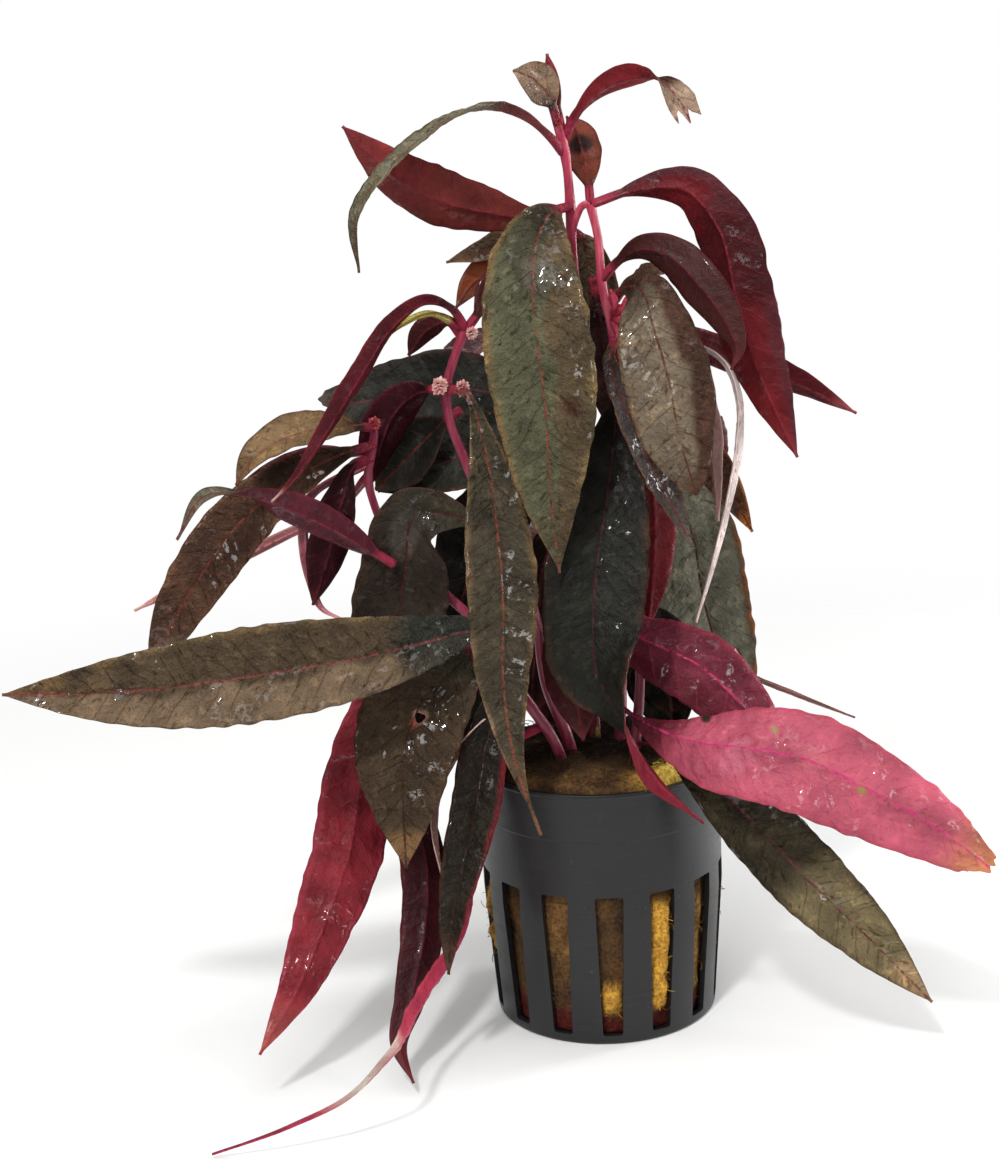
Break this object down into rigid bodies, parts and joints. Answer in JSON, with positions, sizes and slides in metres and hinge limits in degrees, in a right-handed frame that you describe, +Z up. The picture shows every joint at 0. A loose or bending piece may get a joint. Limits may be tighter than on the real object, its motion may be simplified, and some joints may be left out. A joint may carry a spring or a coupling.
{
  "type": "potted sessile joyweed",
  "caption": "Small aquarium plant with lance-shaped olive and crimson leaves on pink stems, rooted in ochre growing wool in a black slotted net pot.",
  "frame": {"origin": "middle of the pot's flat foot, on the surface it stands on", "axes": "+Z up, +X to the viewer's right, +Y away from the viewer; the pictured side faces -Y"},
  "size_m": [0.1829, 0.1213, 0.1941],
  "materials": {
    "pot_plastic": "smooth moulded, soft sheen",
    "growing_wool": "coarse mineral fibre, matte",
    "stem_pink": "smooth, slightly glossy",
    "leaf_olive": "wet, glossy, puckered",
    "leaf_dark_green": "wet, glossy, puckered",
    "leaf_brown": "wet, glossy, puckered",
    "leaf_crimson": "satin, veined",
    "leaf_magenta": "satin, veined",
    "leaf_maroon": "satin, veined",
    "leaf_pale_pink": "satin, veined"
  },
  "bodies": {
    "root": {"pot": "pot_plastic", "wool": "growing_wool", "stem_main": "stem_pink", "stem_right": "stem_pink", "stem_left": "stem_pink", "stem_far_left": "stem_pink", "stem_low_right": "stem_pink", "leaf_crown_up": "leaf_brown", "leaf_crown_strip": "leaf_crimson", "leaf_crown_right": "leaf_crimson", "leaf_crown_left": "leaf_olive", "leaf_crown_back": "leaf_maroon", "leaf_upper_left": "leaf_crimson", "leaf_front_broad": "leaf_olive", "leaf_behind_broad": "leaf_brown", "leaf_arch_right": "leaf_crimson", "leaf_arch_small": "leaf_maroon", "leaf_right_broad": "leaf_brown", "leaf_edge_right": "leaf_pale_pink", "leaf_point_right": "leaf_crimson", "leaf_pale_right": "leaf_pale_pink", "leaf_dark_right": "leaf_dark_green", "leaf_magenta_mid": "leaf_magenta", "leaf_magenta_big": "leaf_magenta", "leaf_low_right": "leaf_dark_green", "leaf_mid_long": "leaf_olive", "leaf_mid_dark": "leaf_dark_green", "leaf_red_sliver": "leaf_crimson", "leaf_glint_narrow": "leaf_brown", "leaf_low_centre": "leaf_maroon", "leaf_arch_left": "leaf_crimson", "leaf_droop_brown": "leaf_brown", "leaf_short_brown": "leaf_brown", "leaf_under_left": "leaf_maroon", "leaf_tip_curl": "leaf_crimson", "leaf_long_left": "leaf_olive", "leaf_red_hang": "leaf_magenta", "leaf_holed": "leaf_olive", "leaf_dark_down": "leaf_dark_green", "leaf_crimson_down": "leaf_crimson", "leaf_ribbon": "leaf_magenta", "leaf_hang_maroon": "leaf_maroon", "leaf_pale_back": "leaf_pale_pink", "leaf_dark_back_left": "leaf_dark_green", "leaf_maroon_left": "leaf_maroon", "leaf_dark_behind": "leaf_dark_green", "leaf_dark_blade": "leaf_dark_green", "leaf_mid_left": "leaf_olive", "leaf_brown_upper": "leaf_brown", "leaf_rust_upper": "leaf_maroon", "leaf_side_left": "leaf_maroon", "leaf_deep_right": "leaf_dark_green", "leaf_deep_left": "leaf_maroon", "leaf_back_upper_right": "leaf_brown", "leaf_back_upper_left": "leaf_olive", "leaf_back_middle": "leaf_dark_green", "leaf_back_middle_right": "leaf_brown", "leaf_back_middle_left": "leaf_crimson", "leaf_back_low_right": "leaf_olive", "leaf_back_low": "leaf_dark_green"}
  },
  "joints": []
}
